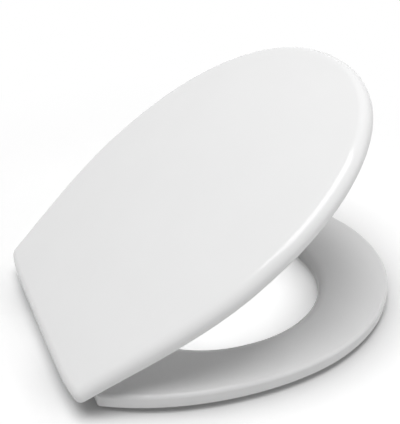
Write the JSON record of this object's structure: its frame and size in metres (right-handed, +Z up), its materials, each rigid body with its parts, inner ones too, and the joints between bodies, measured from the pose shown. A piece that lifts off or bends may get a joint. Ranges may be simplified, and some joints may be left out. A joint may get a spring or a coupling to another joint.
{
  "type": "toilet seat",
  "caption": "White D-shaped toilet seat with a domed lid and a hollow-backed ring on one axis, on swan-neck hinge blocks with rotary soft-close dampers.",
  "frame": {"origin": "midway between the two fixing holes, on the deck of the bowl that the seat stands on", "axes": "+X along the hinge axis, -Y towards the front of the seat, +Z up"},
  "size_m": [0.3724, 0.4346, 0.2767],
  "materials": {
    "white_moulding": "compression-moulded urea plastic, glossy",
    "buffer_rubber": "soft moulded, matt",
    "pad_rubber": "soft cut sheet, matt",
    "hinge_casting": "die-cast zinc, plated",
    "insert_brass": "turned",
    "damper_plastic": "moulded, fine",
    "shaft_plastic": "moulded, fine",
    "bush_plastic": "moulded, fine",
    "seal_rubber": "moulded, matt",
    "pin_steel": "ground"
  },
  "bodies": {
    "hinges": {"left_hinge_block": "hinge_casting", "right_hinge_block": "hinge_casting", "left_foot_pad": "pad_rubber", "right_foot_pad": "pad_rubber", "left_fixing_insert": "insert_brass", "right_fixing_insert": "insert_brass", "lid_damper_housing": "damper_plastic", "ring_damper_housing": "damper_plastic", "lid_damper_cap": "damper_plastic", "ring_damper_cap": "damper_plastic", "lid_damper_seal": "seal_rubber", "ring_damper_seal": "seal_rubber", "lid_hinge_pin": "pin_steel", "ring_hinge_pin": "pin_steel"},
    "seat": {"seat_ring": "white_moulding", "front_left_ring_buffer": "buffer_rubber", "front_right_ring_buffer": "buffer_rubber", "rear_left_ring_buffer": "buffer_rubber", "rear_right_ring_buffer": "buffer_rubber", "ring_damper_rotor": "shaft_plastic", "ring_drive_bush": "bush_plastic", "ring_pin_bush": "bush_plastic"},
    "cover": {"lid": "white_moulding", "left_lid_buffer": "buffer_rubber", "right_lid_buffer": "buffer_rubber", "lid_damper_rotor": "shaft_plastic", "lid_drive_bush": "bush_plastic", "lid_pin_bush": "bush_plastic"}
  },
  "joints": [
    {"name": "seat_hinge", "type": "hinge", "parent": "hinges", "child": "seat", "pos_m": [0, 0.022, 0.023], "axis": [-1, 0, 0], "range_deg": [0, 95]},
    {"name": "lid_hinge", "type": "hinge", "parent": "seat", "child": "cover", "pos_m": [0, 0.022, 0.023], "axis": [-1, 0, 0], "range_deg": [-34, 71]}
  ]
}
